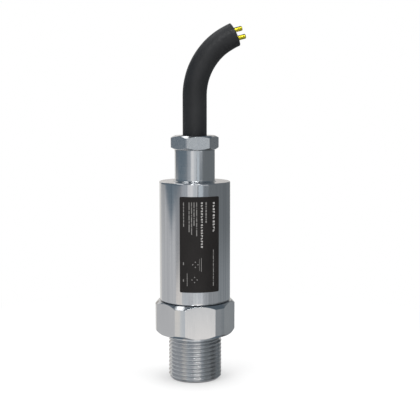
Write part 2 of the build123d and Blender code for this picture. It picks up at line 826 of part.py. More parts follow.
# The cable's two cores, from its inner end down into the plug
with BuildPart() as core_leads:
    for core_x in (-conductor_spread, conductor_spread):
        with BuildLine():
            FilletPolyline(
                (core_x, 0, cable_inner_end),
                (core_x, 0, cable_inner_end - core_drop),
                (core_x, plug_middle, cable_inner_end - 2 * core_drop),
                (core_x, plug_middle, plug_top),
                radius=core_bend,
            )
        with BuildSketch(Plane.XY.offset(cable_inner_end)):
            with Locations((core_x, 0)):
                Circle(conductor_radius)
        sweep()
core_leads.part.label = "core_leads"
export_step(core_leads.part, "parts/core_leads.step")

# Wires from the trim board up through the lock ring to the control board
lead_y = -board_thickness / 2 - lead_stand_off
lead_pad_height = processor_middle - processor_width / 2 - lead_pad_gap
with BuildPart() as sensor_leads:
    for lead in range(lead_count):
        lead_x = (lead - (lead_count - 1) / 2) * lead_pitch
        with BuildLine():
            FilletPolyline(
                (lead_x, lead_y, trim_board_top),
                (lead_x, lead_y, lead_pad_height),
                (lead_x, -board_thickness / 2, lead_pad_height),
                radius=lead_bend,
            )
        with BuildSketch(Plane.XY.offset(trim_board_top)):
            with Locations((lead_x, lead_y)):
                Circle(lead_radius)
        sweep()
sensor_leads.part.label = "sensor_leads"
export_step(sensor_leads.part, "parts/sensor_leads.step")
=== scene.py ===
import bpy
import json
from itertools import cycle
from math import atan2, cos, degrees, pi, radians, sin, tan
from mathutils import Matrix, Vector


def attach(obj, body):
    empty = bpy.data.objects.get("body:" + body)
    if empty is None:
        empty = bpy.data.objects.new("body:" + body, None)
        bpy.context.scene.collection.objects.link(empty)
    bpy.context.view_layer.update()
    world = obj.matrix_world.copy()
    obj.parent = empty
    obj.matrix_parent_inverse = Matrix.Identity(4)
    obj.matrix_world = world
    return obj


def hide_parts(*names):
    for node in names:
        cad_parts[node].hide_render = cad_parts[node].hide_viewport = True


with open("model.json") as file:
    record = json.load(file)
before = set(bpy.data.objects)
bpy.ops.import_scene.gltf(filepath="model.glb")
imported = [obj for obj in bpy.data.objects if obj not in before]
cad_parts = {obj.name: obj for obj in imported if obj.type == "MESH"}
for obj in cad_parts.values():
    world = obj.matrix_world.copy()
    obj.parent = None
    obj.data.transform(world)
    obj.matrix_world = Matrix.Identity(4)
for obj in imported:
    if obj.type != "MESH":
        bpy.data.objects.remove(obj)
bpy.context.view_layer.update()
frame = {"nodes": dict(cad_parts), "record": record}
nodes = frame["nodes"]
mm = 0.001  # turned pieces, plate and print are in millimetres, camera, cable and studio in metres
weldDistance = 0.000001


# Camera, at the photograph's place
cameraView = {
    "place": (-0.0500, -0.3560, 0.1066),
    "tilt": 83.25,
    "turn": -8.9,
    "lens": 82.7,
    "sensor": 36,
    "clip": (0.01, 20),
}
bpy.ops.object.camera_add(
    location=cameraView["place"],
    rotation=(radians(cameraView["tilt"]), 0, radians(cameraView["turn"])),
)
camera = bpy.context.object
camera.name = "photoCamera"
camera.data.lens = cameraView["lens"]
camera.data.sensor_width = cameraView["sensor"]
camera.data.clip_start, camera.data.clip_end = cameraView["clip"]
bpy.context.scene.camera = camera
bpy.context.scene.view_settings.view_transform = "Standard"


# Small helpers, used by every piece
def clearSelection():
    bpy.ops.object.select_all(action="DESELECT")


def pick(piece):
    clearSelection()
    piece.select_set(True)
    bpy.context.view_layer.objects.active = piece


def settle(piece):
    # moves the place, turn and scale into the mesh, so that the object sits at the origin
    pick(piece)
    bpy.ops.object.transform_apply(location=True, rotation=True, scale=True)


def smoothTo(piece, limit):
    pick(piece)
    bpy.ops.object.shade_smooth_by_angle(angle=radians(limit))


def addModifier(piece, kind):
    pick(piece)
    bpy.ops.object.modifier_add(type=kind)
    return piece.modifiers[-1]


def applyModifier(modifier):
    # the modifier's piece is still the picked one
    bpy.ops.object.modifier_apply(modifier=modifier.name)


def editAll(piece):
    # leaves the piece in edit mode with its whole mesh selected
    pick(piece)
    bpy.ops.object.mode_set(mode="EDIT")
    bpy.ops.mesh.select_all(action="SELECT")


def weld():
    bpy.ops.mesh.select_all(action="SELECT")
    bpy.ops.mesh.remove_doubles(threshold=weldDistance)


def faceOutwards():
    # ends the edit with every face pointing out of its solid
    bpy.ops.mesh.select_all(action="SELECT")
    bpy.ops.mesh.normals_make_consistent(inside=False)
    bpy.ops.object.mode_set(mode="OBJECT")


def selectWhere(piece, kind, wanted):
    # leaves the piece in edit mode with the wanted edges or faces selected
    editAll(piece)
    bpy.ops.mesh.select_mode(type=kind)
    bpy.ops.mesh.select_all(action="DESELECT")
    bpy.ops.object.mode_set(mode="OBJECT")
    parts = piece.data.edges if kind == "EDGE" else piece.data.polygons
    for part in parts:
        part.select = wanted(part)
    bpy.ops.object.mode_set(mode="EDIT")


def arcPoints(centre, radius, first, last, count):
    # points of an arc in a turned section, angles in degrees from the radial direction
    points = []
    for step in range(count + 1):
        angle = radians(first + (last - first) * step / count)
        points.append((centre[0] + radius * cos(angle), centre[1] + radius * sin(angle)))
    return points


def drawSection(name, outline):
    # one vertex, extruded from point to point in the XZ plane and back to the first
    clearSelection()
    bpy.ops.mesh.primitive_plane_add(size=mm)
    piece = bpy.context.object
    piece.name = name
    bpy.ops.object.mode_set(mode="EDIT")
    bpy.ops.mesh.select_mode(type="VERT")
    bpy.ops.mesh.select_all(action="SELECT")
    bpy.ops.mesh.merge(type="CENTER")
    at = outline[0]
    bpy.ops.transform.translate(value=(at[0] * mm, 0, at[1] * mm))
    for point in outline[1:] + outline[:1]:
        step = ((point[0] - at[0]) * mm, 0, (point[1] - at[1]) * mm)
        bpy.ops.mesh.extrude_region_move(TRANSFORM_OT_translate={"value": step})
        at = point
    weld()
    return piece


def turnPiece(name, outline, steps):
    piece = drawSection(name, outline)
    bpy.ops.mesh.spin(steps=steps, angle=2 * pi, center=(0, 0, 0), axis=(0, 0, 1))
    weld()
    faceOutwards()
    return piece


def cutWith(piece, cutter, operation):
    cut = addModifier(piece, "BOOLEAN")
    cut.operation = operation
    cut.solver = "EXACT"
    cut.object = cutter
    applyModifier(cut)
    pick(cutter)
    bpy.ops.object.delete()


def millHexagon(piece, flats, bottom, top, turn=0):
    # a turned corner circle is left where the six flats don't reach
    past = 1  # the cutting prism goes this far past both ends
    halfSide = pi / 6
    clearSelection()
    bpy.ops.mesh.primitive_cylinder_add(
        vertices=6,
        radius=flats / cos(halfSide) * mm,
        depth=(top - bottom + 2 * past) * mm,
        location=(0, 0, (bottom + top) / 2 * mm),
        rotation=(0, 0, halfSide + radians(turn)),
    )
    cutWith(piece, bpy.context.object, "INTERSECT")


def finishFlats(piece, finish, flats):
    # the milled flats get a finish of their own, the turned faces keep the first
    level = 0.01
    slack = 0.02
    piece.data.materials.append(finishes[finish])
    selectWhere(
        piece,
        "FACE",
        lambda face: abs(face.normal.z) < level
        and abs(face.normal.dot(face.center) - flats * mm) < slack * mm,
    )
    piece.active_material_index = len(piece.data.materials) - 1
    bpy.ops.object.material_slot_assign()
    bpy.ops.object.mode_set(mode="OBJECT")


# The cutter's flanks go on past the crests to its mouth, which is narrower than the pitch,
# so that its turns stay apart
threadForm = {
    "flankAngle": 30,
    "crestFlat": 1 / 8,  # in pitches
    "mouth": 0.914,  # in pitches
    "past": 0.5,
}


def cutThread(piece, crest, thread):
    # a V groove with a flat root, wound round Z and taken out of the crests
    slope = tan(radians(threadForm["flankAngle"]))
    root, pitch, start = thread["root"], thread["pitch"], thread["start"]
    crestHalf = pitch * (1 - threadForm["crestFlat"]) / 2
    rootHalf = crestHalf - (crest - root) * slope
    mouthHalf = pitch * threadForm["mouth"] / 2
    mouthFrom = crest + (mouthHalf - crestHalf) / slope
    outside = crest + threadForm["past"]
    cutter = drawSection(
        "threadCutter",
        [
            (root, start - rootHalf),
            (mouthFrom, start - mouthHalf),
            (outside, start - mouthHalf),
            (outside, start + mouthHalf),
            (mouthFrom, start + mouthHalf),
            (root, start + rootHalf),
        ],
    )
    bpy.ops.object.mode_set(mode="OBJECT")
    winding = addModifier(cutter, "SCREW")
    winding.axis = "Z"
    winding.angle = 2 * pi
    winding.screw_offset = pitch * mm
    winding.iterations = thread["turns"]
    winding.steps = thread["steps"]
    winding.render_steps = thread["steps"]
    applyModifier(winding)
    editAll(cutter)
    weld()
    bpy.ops.mesh.fill_holes(sides=0)
    faceOutwards()
    cutWith(piece, cutter, "DIFFERENCE")


# Cable: a soft black sheath, held straight in the gland and bent over to the right
cable = {
    "radius": 0.0045,
    "exit": (0, 0, 0.0920),
    "length": 0.0648,
    "stepsAlong": 16,
    "stepsRound": 14,
    "route": [
        (0, 0, 0.0705),
        (0, 0, 0.1029),
        (0, 0, 0.1102),
        (0.0021, 0, 0.1172),
        (0.0062, 0, 0.1232),
        (0.0112, 0, 0.1273),
        (0.0150, 0, 0.1291),
    ],
}
cableLine = bpy.data.curves.new("cableSheath", "CURVE")
cableLine.dimensions = "3D"
cableRun = cableLine.splines.new("NURBS")
cableRun.points.add(len(cable["route"]) - 1)
for point, place in zip(cableRun.points, cable["route"]):
    point.co = (*place, 1)
cableRun.order_u = 3
cableRun.use_endpoint_u = True
cableRun.resolution_u = cable["stepsAlong"]
cableLine.bevel_depth = cable["radius"]
cableLine.bevel_resolution = cable["stepsRound"]
cableLine.use_fill_caps = True
cableSheath = bpy.data.objects.new("cableSheath", cableLine)
bpy.context.collection.objects.link(cableSheath)
print("stage: camera and cable")


# Shader nodes
def addNode(tree, kind, inputs=None, operation=None):
    # an input is linked where its value is another node's output, and set where it's a number
    node = tree.nodes.new(kind)
    if operation:
        node.operation = operation
    for name, value in (inputs or {}).items():
        if isinstance(value, bpy.types.NodeSocket):
            tree.links.new(value, node.inputs[name])
        else:
            node.inputs[name].default_value = value
    return node


def addMath(tree, operation, *values):
    return addNode(tree, "ShaderNodeMath", dict(enumerate(values)), operation).outputs[0]


def addRange(tree, value, start, end, low=0.0, high=1.0):
    # takes start to low and end to high
    spread = {"Value": value, "From Min": start, "From Max": end, "To Min": low, "To Max": high}
    return addNode(tree, "ShaderNodeMapRange", spread).outputs["Result"]


def addRamp(tree, share, tints):
    # tints at places from 0 to 1
    ramp = addNode(tree, "ShaderNodeValToRGB", {"Fac": share})
    stops = ramp.color_ramp.elements
    for index, (place, tint) in enumerate(tints):
        stop = stops[index] if index < 2 else stops.new(1)
        stop.position = place
        stop.color = (*tint, 1)
    return ramp.outputs["Color"]


def addNoise(tree, stretch, detail):
    place = addNode(tree, "ShaderNodeTexCoord").outputs["Object"]
    mapping = addNode(tree, "ShaderNodeMapping", {"Vector": place, "Scale": stretch})
    cloud = {"Vector": mapping.outputs["Vector"], "Scale": 1, "Detail": detail}
    return addNode(tree, "ShaderNodeTexNoise", cloud).outputs["Fac"]


# Finishes: fine marks vary the roughness and give a bump, soft clouds vary the colour
noiseSpan = (0.3, 0.7)  # nearly all of a noise lies between these
noiseDetail = {"marks": 3, "clouds": 2}
bevelSamples = 6


def newFinish(name, colour, roughness, metallic=0.0, specular=0.5):
    finish = bpy.data.materials.new(name)
    finish.use_nodes = True
    shader = finish.node_tree.nodes["Principled BSDF"]
    shader.inputs["Base Color"].default_value = (*colour, 1)
    shader.inputs["Roughness"].default_value = roughness
    shader.inputs["Metallic"].default_value = metallic
    shader.inputs["Specular IOR Level"].default_value = specular
    return finish, shader


def varyRoughness(tree, shader, noise, rough):
    tree.links.new(addRange(tree, noise, *noiseSpan, *rough), shader.inputs["Roughness"])


def varyColour(tree, shader, noise, dark, light):
    ramp = addRamp(tree, noise, list(zip(noiseSpan, (dark, light))))
    tree.links.new(ramp, shader.inputs["Base Color"])


def addBump(tree, shader, noise, look):
    raised = {"Strength": look["strength"], "Distance": look["depth"], "Height": noise}
    bump = addNode(tree, "ShaderNodeBump", raised)
    tree.links.new(bump.outputs["Normal"], shader.inputs["Normal"])
    if look["edge"]:
        edge = addNode(tree, "ShaderNodeBevel", {"Radius": look["edge"]})
        edge.samples = bevelSamples
        tree.links.new(edge.outputs["Normal"], bump.inputs["Normal"])


def makeFinish(name, look):
    finish, shader = newFinish(name, look["light"], look["rough"][1], look["metallic"], look["specular"])
    tree = finish.node_tree
    marks = addNoise(tree, look["marks"], noiseDetail["marks"])
    clouds = addNoise(tree, look["clouds"], noiseDetail["clouds"])
    varyRoughness(tree, shader, marks, look["rough"])
    varyColour(tree, shader, clouds, look["dark"], look["light"])
    addBump(tree, shader, marks, look)
    return finish


steelUsual = {
    "metallic": 1.0,
    "specular": 0.5,
    "strength": 0.05,
    "depth": 0.00002,
    "edge": 0.00012,
}
steelLooks = {
    "satinBody": {
        "dark": (0.57, 0.585, 0.605),
        "light": (0.68, 0.69, 0.705),
        "rough": (0.10, 0.17),
        "marks": (90, 90, 5200),
        "clouds": (1100, 1100, 9),
    },
    "turnedSteel": {
        "dark": (0.60, 0.62, 0.64),
        "light": (0.65, 0.665, 0.68),
        "rough": (0.13, 0.21),
        "marks": (120, 120, 6500),
        "clouds": (90, 90, 60),
    },
    "milledFlats": {
        "dark": (0.61, 0.62, 0.63),
        "light": (0.665, 0.67, 0.675),
        "rough": (0.15, 0.23),
        "marks": (3000, 3000, 160),
        "clouds": (160, 160, 60),
    },
    "satinFlats": {
        "dark": (0.58, 0.60, 0.62),
        "light": (0.67, 0.68, 0.69),
        "rough": (0.24, 0.36),
        "marks": (1500, 1500, 1500),
        "clouds": (900, 900, 900),
        "strength": 0.12,
        "depth": 0.00003,
    },
    "foilSteel": {
        "dark": (0.56, 0.57, 0.58),
        "light": (0.63, 0.64, 0.65),
        "rough": (0.16, 0.24),
        "marks": (700, 700, 3000),
        "clouds": (150, 150, 150),
        "strength": 0.04,
        "edge": 0.00005,
    },
    "canMetal": {
        "dark": (0.74, 0.75, 0.77),
        "light": (0.82, 0.83, 0.84),
        "rough": (0.22, 0.32),
        "marks": (500, 500, 4000),
        "clouds": (200, 200, 200),
        "edge": 0.0001,
    },
    "gilding": {
        "dark": (0.72, 0.61, 0.03),
        "light": (0.84, 0.72, 0.06),
        "rough": (0.12, 0.22),
        "marks": (1500, 1500, 4000),
        "clouds": (600, 600, 600),
        "edge": 0.00005,
    },
}
finishes = {name: makeFinish(name, {**steelUsual, **look}) for name, look in steelLooks.items()}

mouldedUsual = {
    "metallic": 0.0,
    "specular": 0.5,
    "clouds": (120, 120, 120),
    "depth": 0.00002,
    "edge": 0,
}
mouldedLooks = {
    "sheathBlack": {
        "dark": (0.010, 0.0105, 0.0115),
        "light": (0.015, 0.0155, 0.017),
        "rough": (0.44, 0.54),
        "marks": (2600, 2600, 2600),
        "strength": 0.10,
        "depth": 0.00003,
        "specular": 0.42,
    },
    "plateBlack": {
        "dark": (0.0085, 0.0070, 0.0065),
        "light": (0.012, 0.0100, 0.0095),
        "rough": (0.42, 0.52),
        "marks": (4200, 4200, 4200),
        "strength": 0.08,
        "specular": 0.3,
    },
    "platePrint": {
        "dark": (0.42, 0.41, 0.40),
        "light": (0.50, 0.49, 0.48),
        "rough": (0.45, 0.55),
        "marks": (5000, 5000, 5000),
        "strength": 0.05,
        "depth": 0.00001,
    },
    "faintPrint": {
        "dark": (0.15, 0.145, 0.14),
        "light": (0.20, 0.195, 0.19),
        "rough": (0.45, 0.55),
        "marks": (5000, 5000, 5000),
        "strength": 0.05,
        "depth": 0.00001,
    },
    "sealRubber": {
        "dark": (0.012, 0.012, 0.012),
        "light": (0.022, 0.022, 0.022),
        "rough": (0.60, 0.75),
        "marks": (2400, 2400, 2400),
        "strength": 0.15,
        "depth": 0.00003,
    },
    "paleMoulding": {
        "dark": (0.66, 0.64, 0.58),
        "light": (0.76, 0.74, 0.68),
        "rough": (0.42, 0.54),
        "marks": (2000, 2000, 2000),
        "strength": 0.12,
        "depth": 0.00003,
    },
    "chipBlack": {
        "dark": (0.012, 0.012, 0.013),
        "light": (0.022, 0.022, 0.023),
        "rough": (0.50, 0.62),
        "marks": (5200, 5200, 5200),
        "strength": 0.15,
    },
    "glazedChip": {
        "dark": (0.05, 0.05, 0.055),
        "light": (0.09, 0.09, 0.10),
        "rough": (0.25, 0.36),
        "marks": (3000, 3000, 3000),
        "strength": 0.06,
    },
    "boardLacquer": {
        "dark": (0.012, 0.12, 0.05),
        "light": (0.022, 0.18, 0.08),
        "rough": (0.22, 0.34),
        "marks": (1600, 1600, 1600),
        "strength": 0.12,
        "depth": 0.00003,
    },
    "polishedDie": {
        "dark": (0.20, 0.22, 0.27),
        "light": (0.28, 0.30, 0.36),
        "rough": (0.10, 0.18),
        "marks": (3000, 3000, 3000),
        "strength": 0.03,
        "depth": 0.00001,
    },
    "wireRed": {
        "dark": (0.40, 0.02, 0.02),
        "light": (0.52, 0.035, 0.03),
        "rough": (0.28, 0.38),
        "marks": (1500, 1500, 1500),
        "strength": 0.08,
    },
}
finishes.update({name: makeFinish(name, {**mouldedUsual, **look}) for name, look in mouldedLooks.items()})

glass = {
    "colour": (0.30, 0.46, 0.38),
    "rough": (0.05, 0.14),
    "clear": 0.6,
    "index": 1.52,
    "clouds": (900, 900, 900),
}
glassFinish, glassShader = newFinish("sealingGlass", glass["colour"], glass["rough"][1])
glassShader.inputs["Transmission Weight"].default_value = glass["clear"]
glassShader.inputs["IOR"].default_value = glass["index"]
glassClouds = addNoise(glassFinish.node_tree, glass["clouds"], noiseDetail["clouds"])
varyRoughness(glassFinish.node_tree, glassShader, glassClouds, glass["rough"])
finishes["sealingGlass"] = glassFinish

slotFinishes = {
    "stainless_body": "satinBody",
    "stainless_turned": "turnedSteel",
    "sensor_steel": "foilSteel",
    "seal_rubber": "sealRubber",
    "bead_glass": "sealingGlass",
    "gilt_contact": "gilding",
    "silicon": "polishedDie",
    "board_laminate": "boardLacquer",
    "plate_black": "plateBlack",
    "cable_black": "sheathBlack",
    "frame_plastic": "paleMoulding",
    "chip_plastic": "chipBlack",
    "chip_ceramic": "glazedChip",
    "can_aluminium": "canMetal",
    "socket_plastic": "paleMoulding",
    "wire_sleeve": "wireRed",
}
for subpart in frame["record"]["subparts"]:
    node = nodes[subpart["node"]]
    for materialSlot in node.material_slots:
        materialSlot.material = finishes[slotFinishes[subpart["material_slot"]]]
print("stage: finishes")


def dress(piece, finish, slotName, body, *replaced):
    piece.data.materials.append(finishes[finish])
    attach(piece, body)
    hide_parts(*replaced)


dress(cableSheath, "sheathBlack", "cable_black", "root", "cable_sheath")


# Threaded stud, groove, hexagon, spigot and sensor pocket, one turned and milled piece
connection = {
    "port": 3.0,
    "portChamfer": 0.5,
    "stud": 10.0,
    "endChamfer": 1.1,
    "grooveFrom": 14.9,
    "grooveFlank": (9.05, 0.69),  # a radius on the lower flank, and its height above grooveFrom
    "groove": 8.9,
    "lowerRound": 0.4,
    "lowerRoundRise": 0.98,
    "upperRound": 0.9,
    "hexBottom": 17.8,
    "hexTop": 30.0,
    "flats": 13.9,
    "corners": 15.0,
    "topChamferFrom": 13.77,
    "bottomChamferFrom": 14.0,
    "spigot": 11.7,
    "spigotTop": 38.0,
    "spigotChamfer": 0.5,
    "sealFloor": 10.95,
    "sealFrom": 33.4,
    "sealTo": 34.8,
    "lockThread": 9.85,
    "lockChamfer": 0.4,
    "ledge": 30.5,
    "pocket": 9.55,
    "pocketFloor": 19.5,
    "recess": 7.5,
    "recessFloor": 18.4,
    "steps": 160,
    "smooth": 15,
    "thread": {
        "pitch": 1.5,
        "root": 9.1,
        "start": -1.3,
        "turns": 12,
        "steps": 96,
    },
}


def studOutline():
    # stud and groove, from the port's mouth up to the hexagon's underside
    stud, endChamfer = connection["stud"], connection["endChamfer"]
    groove, grooveFrom = connection["groove"], connection["grooveFrom"]
    flankRadius, flankRise = connection["grooveFlank"]
    lowerRound, upperRound = connection["lowerRound"], connection["upperRound"]
    lowerCentre = (groove + lowerRound, grooveFrom + connection["lowerRoundRise"])
    upperCentre = (groove + upperRound, connection["hexBottom"] - upperRound)
    return [
        (connection["port"] + connection["portChamfer"], 0),
        (stud - endChamfer, 0),
        (stud, endChamfer),
        (stud, grooveFrom),
        (flankRadius, grooveFrom + flankRise),
        *arcPoints(lowerCentre, lowerRound, 216, 180, 4),
        *arcPoints(upperCentre, upperRound, 180, 90, 10),
    ]


def hexagonOutline():
    # hexagon and spigot, from the hexagon's underside up to the pocket's mouth
    corners, bottom, top = connection["corners"], connection["hexBottom"], connection["hexTop"]
    spigot, spigotTop = connection["spigot"], connection["spigotTop"]
    spigotChamfer = connection["spigotChamfer"]
    return [
        (connection["bottomChamferFrom"], bottom),
        (corners, bottom + corners - connection["bottomChamferFrom"]),
        (corners, top - corners + connection["topChamferFrom"]),
        (connection["topChamferFrom"], top),
        (spigot, top),
        (spigot, connection["sealFrom"]),
        (connection["sealFloor"], connection["sealFrom"]),
        (connection["sealFloor"], connection["sealTo"]),
        (spigot, connection["sealTo"]),
        (spigot, spigotTop - spigotChamfer),
        (spigot - spigotChamfer, spigotTop),
    ]


def pocketOutline():
    # lock ring's thread, sensor pocket and pressure port, from the top down
    lockThread, lockChamfer = connection["lockThread"], connection["lockChamfer"]
    pocket, recess, port = connection["pocket"], connection["recess"], connection["port"]
    return [
        (lockThread + lockChamfer, connection["spigotTop"]),
        (lockThread, connection["spigotTop"] - lockChamfer),
        (lockThread, connection["ledge"]),
        (pocket, connection["ledge"]),
        (pocket, connection["pocketFloor"]),
        (recess, connection["pocketFloor"]),
        (recess, connection["recessFloor"]),
        (port, connection["recessFloor"]),
        (port, connection["portChamfer"]),
    ]


processConnection = turnPiece(
    "processConnection",
    studOutline() + hexagonOutline() + pocketOutline(),
    connection["steps"],
)
millHexagon(processConnection, connection["flats"], 0, connection["spigotTop"])
cutThread(processConnection, connection["stud"], connection["thread"])
smoothTo(processConnection, connection["smooth"])
dress(processConnection, "turnedSteel", "stainless_turned", "root", "process_connection")
finishFlats(processConnection, "milledFlats", connection["flats"])
print("stage: process connection")


# Housing: a deep cup with a small chamfer at its foot and a round at its rim. The support points
# near the ends of its wall and top keep the shading of these long faces straight.
housing = {
    "outer": 13.25,
    "bore": 11.75,
    "boreChamfer": 0.3,
    "bottom": 30.1,
    "foot": [(0.35, 0), (0.08, 0.27), (0, 0.4), (0, 0.8)],  # in from the wall, up from the bottom
    "ceiling": 72.0,
    "top": 75.0,
    "rimRound": 0.4,
    "support": 0.8,
    "neckHole": 6.05,
    "steps": 192,
    "smooth": 35,
}


def housingOutline():
    outer, bore, chamfer = housing["outer"], housing["bore"], housing["boreChamfer"]
    bottom, ceiling, top = housing["bottom"], housing["ceiling"], housing["top"]
    rim, support = housing["rimRound"], housing["support"]
    return [
        (bore + chamfer, bottom),
        *[(outer - inward, bottom + rise) for inward, rise in housing["foot"]],
        (outer, top - support),
        *arcPoints((outer - rim, top - rim), rim, 0, 90, 6),
        (outer - support, top),
        (housing["neckHole"], top),
        (housing["neckHole"], ceiling),
        (bore, ceiling),
        (bore, bottom + chamfer),
    ]


housingCup = turnPiece("housingCup", housingOutline(), housing["steps"])
smoothTo(housingCup, housing["smooth"])
dress(housingCup, "satinBody", "stainless_body", "root", "housing")
print("stage: housing")


# Gland neck: a stepped tube on a small concave foot
neck = {
    "outer": 7.5,
    "footRound": 0.55,
    "footLip": 0.1,
    "bottom": housing["top"],
    "top": 86.8,
    "rim": 0.3,
    "support": 0.25,  # from the wall's rounds to its support points
    "bore": 6.05,
    "seat": 76.4,
    "passage": 4.8,
    "spigot": 6.0,
    "spigotEnd": housing["ceiling"],
    "steps": 160,
    "smooth": 35,
}


def neckOutline():
    outer, bottom, top = neck["outer"], neck["bottom"], neck["top"]
    foot, rim, support = neck["footRound"], neck["rim"], neck["support"]
    footTop = bottom + neck["footLip"] + foot
    return [
        (neck["spigot"], bottom),
        (outer + foot, bottom),
        *arcPoints((outer + foot, footTop), foot, 270, 180, 8),
        (outer, footTop + support),
        (outer, top - rim - support),
        *arcPoints((outer - rim, top - rim), rim, 0, 90, 4),
        (neck["bore"] + rim, top),
        (neck["bore"], top - rim),
        (neck["bore"], neck["seat"]),
        (neck["passage"], neck["seat"]),
        (neck["passage"], neck["spigotEnd"]),
        (neck["spigot"], neck["spigotEnd"]),
    ]


glandNeck = turnPiece("glandNeck", neckOutline(), neck["steps"])
smoothTo(glandNeck, neck["smooth"])
dress(glandNeck, "turnedSteel", "stainless_turned", "root", "gland_neck")
print("stage: gland neck")


# Name plate: a thin black strip, drawn flat and bent round the housing
plate = {
    "radius": 13.55,
    "thickness": 0.25,
    "width": 15.2,
    "bottom": 35.2,
    "top": 70.3,
    "corner": 0.4,
    "cornerSteps": 5,
    "bends": 48,
    "smooth": 30,
}


def wrapRound(piece):
    # bends what was drawn flat in the XZ plane round the switch's axis
    radius = plate["radius"] * mm
    across = [vertex.co.x for vertex in piece.data.vertices]
    bend = addModifier(piece, "SIMPLE_DEFORM")
    bend.deform_method = "BEND"
    bend.deform_axis = "Z"
    bend.angle = (max(across) - min(across)) / radius
    applyModifier(bend)
    editAll(piece)
    bpy.ops.transform.translate(value=(0, -radius, 0))
    bpy.ops.object.mode_set(mode="OBJECT")


def addBlock(place, size):
    clearSelection()
    bpy.ops.mesh.primitive_cube_add(
        size=1,
        location=[value * mm for value in place],
        scale=[value * mm for value in size],
    )
    block = bpy.context.object
    settle(block)
    return block


def runsThroughPlate(edge):
    ends = [namePlate.data.vertices[index].co for index in edge.vertices]
    return abs(ends[0].y - ends[1].y) > plate["thickness"] / 2 * mm


namePlate = addBlock(
    (0, plate["thickness"] / 2, (plate["bottom"] + plate["top"]) / 2),
    (plate["width"], plate["thickness"], plate["top"] - plate["bottom"]),
)
namePlate.name = "namePlate"
selectWhere(namePlate, "EDGE", runsThroughPlate)
bpy.ops.mesh.bevel(offset=plate["corner"] * mm, segments=plate["cornerSteps"])
bpy.ops.mesh.select_mode(type="VERT")
for cut in range(1, plate["bends"]):
    place = (cut / plate["bends"] - 0.5) * plate["width"] * mm
    bpy.ops.mesh.select_all(action="SELECT")
    bpy.ops.mesh.bisect(plane_co=(place, 0, 0), plane_no=(1, 0, 0))
faceOutwards()
wrapRound(namePlate)
smoothTo(namePlate, plate["smooth"])
dress(namePlate, "plateBlack", "plate_black", "root", "name_plate")


# Plain print: lines of short dashes that run down the plate, then bars and rings of dots.
# A bold line is two strips side by side with one pitch, and a faint line is one strip.
boldLines = [
    {
        "from": 68.3,
        "to": 57.6,
        "width": 0.30,
        "pitch": 1.12,
        "strips": [(5.50, (0.7, 0.3, 0.7, 0.5)), (5.08, (0.5, 0.7, 0.7, 0.3, 0.7))],
    },
    {
        "from": 68.4,
        "to": 52.4,
        "width": 0.26,
        "pitch": 1.0,
        "strips": [(0.84, (0.6, 0.3, 0.6, 0.45)), (0.46, (0.6, 0.6, 0.3, 0.6, 0.45))],
    },
]
faintLines = [
    {"across": 2.25, "from": 68.4, "to": 60.9, "width": 0.50, "dashes": (1.0, 0.6, 0.3, 0.8)},
    {"across": -1.25, "from": 68.4, "to": 56.3, "width": 0.34, "dashes": (1.6, 0.4, 2.3, 0.3, 1.3)},
    {"across": -2.20, "from": 68.4, "to": 60.3, "width": 0.34, "dashes": (2.1, 0.9, 1.7, 0.5)},
    {"across": -3.10, "from": 68.4, "to": 58.6, "width": 0.34, "dashes": (1.5, 2.4, 0.6, 1.9)},
    {"across": -4.00, "from": 68.4, "to": 58.2, "width": 0.34, "dashes": (2.8, 1.3, 1.8, 0.9)},
    {"across": -6.05, "from": 68.3, "to": 60.0, "width": 0.32, "dashes": (1.2, 0.7, 1.0)},
    {"across": 5.15, "from": 50.9, "to": 37.7, "width": 0.30, "dashes": (1.1, 0.4, 1.5, 0.7)},
]
printBars = [
    {"across": 0.45, "height": 45.5, "width": 0.20, "length": 5.0},
    {"across": -0.25, "height": 45.5, "width": 0.10, "length": 4.4},
    {"across": -4.75, "height": 40.0, "width": 0.20, "length": 4.8},
    {"across": -6.15, "height": 45.9, "width": 0.36, "length": 1.0},
    {"across": -6.15, "height": 39.7, "width": 0.36, "length": 0.9},
]
printDots = [
    {"centre": (-1.75, 45.6), "spread": 0.95, "radius": 0.22},
    {"centre": (-2.05, 40.0), "spread": 0.95, "radius": 0.22},
]
printDepth = 0.04  # half of it is sunk in the plate
dashGap = 0.3


def flatBar(across, height, width, length):
    return addBlock((across, 0, height), (width, printDepth, length))


def flatDot(across, height, radius):
    clearSelection()
    bpy.ops.mesh.primitive_cylinder_add(
        vertices=12,
        radius=radius * mm,
        depth=printDepth * mm,
        location=(across * mm, 0, height * mm),
        rotation=(pi / 2, 0, 0),
    )
    dot = bpy.context.object
    settle(dot)
    return dot


def printStrip(line, across, lengths):
    # the dashes follow each other at the line's pitch, or with a gap between them
    strip = []
    at = line["from"]
    dashes = cycle(lengths)
    while at > line["to"]:
        dash = next(dashes)
        strip.append(flatBar(across, at - dash / 2, line["width"], dash))
        at -= line.get("pitch", dash + dashGap)
    return strip


def printRing(dots):
    across, height = dots["centre"]
    spread, radius = dots["spread"], dots["radius"]
    return [
        flatDot(across + side * spread, height + rise * spread, radius)
        for side, rise in ((-1, 0), (1, 0), (0, -1), (0, 1))
    ]


def joinPieces(name, pieces):
    clearSelection()
    for piece in pieces:
        piece.select_set(True)
    joined = pieces[0]
    bpy.context.view_layer.objects.active = joined
    bpy.ops.object.join()
    joined.name = name
    return joined


printed = {"platePrint": [], "faintPrint": []}
for line in boldLines:
    for across, lengths in line["strips"]:
        printed["platePrint"] += printStrip(line, across, lengths)
for line in faintLines:
    printed["faintPrint"] += printStrip(line, line["across"], line["dashes"])
for bar in printBars:
    printed["faintPrint"].append(flatBar(bar["across"], bar["height"], bar["width"], bar["length"]))
for dots in printDots:
    printed["faintPrint"] += printRing(dots)
for ink, marks in printed.items():
    inkPiece = joinPieces(ink, marks)
    wrapRound(inkPiece)
    inkPiece.data.materials.append(finishes[ink])
    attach(inkPiece, "root")
print("stage: name plate")


